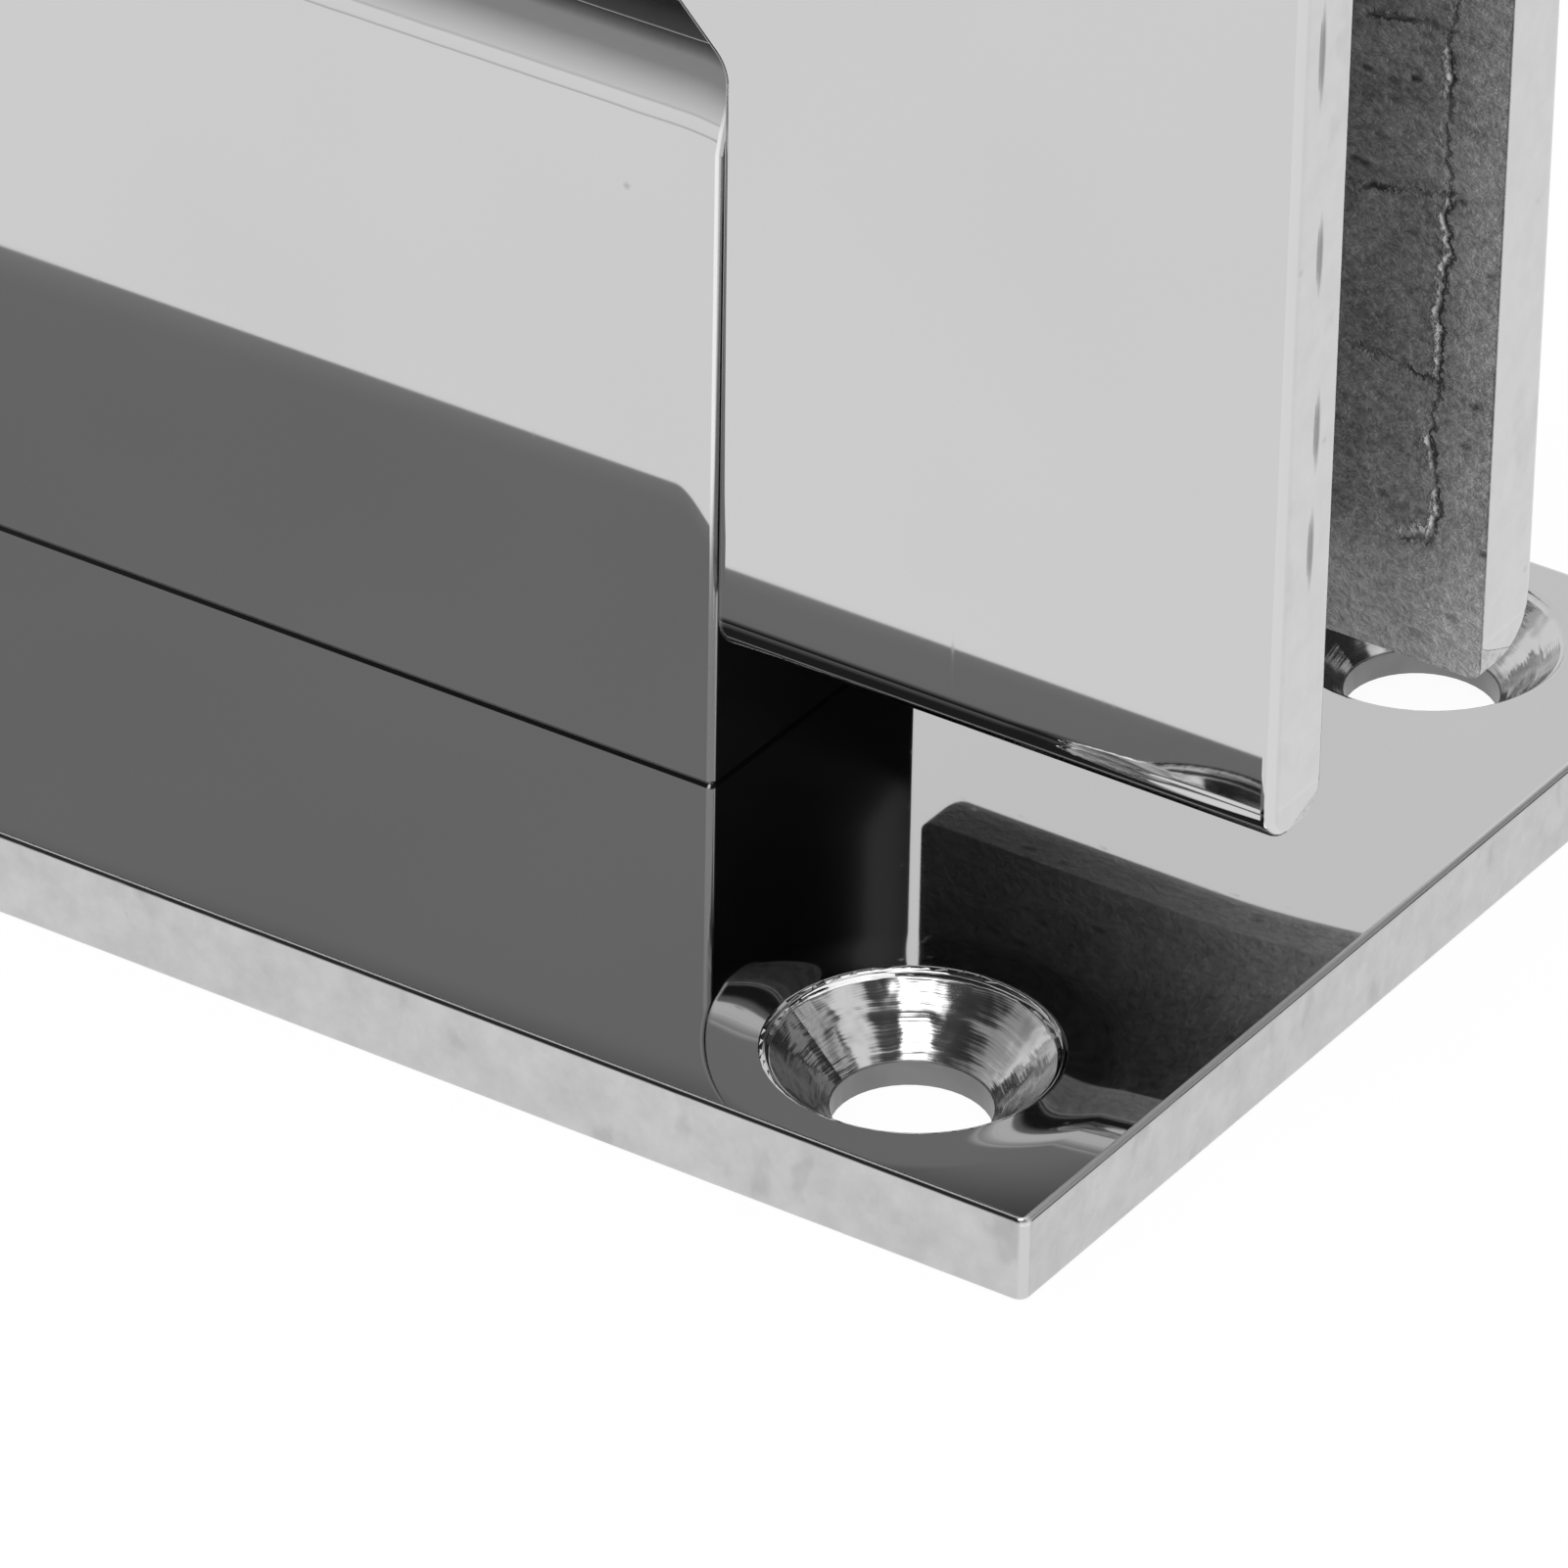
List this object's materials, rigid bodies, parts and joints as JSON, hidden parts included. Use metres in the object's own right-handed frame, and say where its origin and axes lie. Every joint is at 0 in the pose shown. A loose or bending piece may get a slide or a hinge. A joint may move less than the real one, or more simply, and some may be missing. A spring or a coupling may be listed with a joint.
{
  "type": "glass door hinge",
  "caption": "Self-centring glass door hinge: a countersunk wall plate with a pivot block, and a notched two-plate clamp that swings on its pin and grips the glass.",
  "frame": {"origin": "centre of the wall plate's underside", "axes": "+X along the pivot pin, +Y from the front clamp plate to the rear one, +Z away from the wall plate, towards the glass"},
  "size_m": [0.09, 0.05, 0.0658],
  "materials": {
    "polished_steel": "mirror-polished stainless steel",
    "pin_steel": "ground hardened steel",
    "spring_steel": "drawn spring wire",
    "screw_steel": "turned stainless screws",
    "bronze": "sintered bronze",
    "nylon": "matt nylon",
    "gasket_rubber": "soft matt gasket sheet"
  },
  "bodies": {
    "base": {"wall_plate": "polished_steel", "pivot_block": "polished_steel", "left_bush": "bronze", "right_bush": "bronze", "left_thrust_washer": "nylon", "right_thrust_washer": "nylon", "left_detent_spring": "spring_steel", "right_detent_spring": "spring_steel", "left_block_screw": "screw_steel", "right_block_screw": "screw_steel"},
    "clamp": {"pivot_pin": "pin_steel", "front_clamp_plate": "polished_steel", "rear_clamp_plate": "polished_steel", "left_clamp_screw": "screw_steel", "right_clamp_screw": "screw_steel", "left_pin_lock_screw": "screw_steel", "right_pin_lock_screw": "screw_steel", "front_gasket": "gasket_rubber", "rear_gasket": "gasket_rubber"},
    "detent": {"left_detent_plunger": "pin_steel", "right_detent_plunger": "pin_steel"}
  },
  "joints": [
    {"name": "clamp_swing", "type": "hinge", "parent": "base", "child": "clamp", "pos_m": [0, 0, 0.0288], "axis": [1, 0, 0], "range_deg": [-90, 90]},
    {"name": "detent_travel", "type": "slide", "parent": "base", "child": "detent", "axis": [0, 0, 1], "range_m": [0, 0.0008], "deforming": ["left_detent_spring", "right_detent_spring"]}
  ]
}
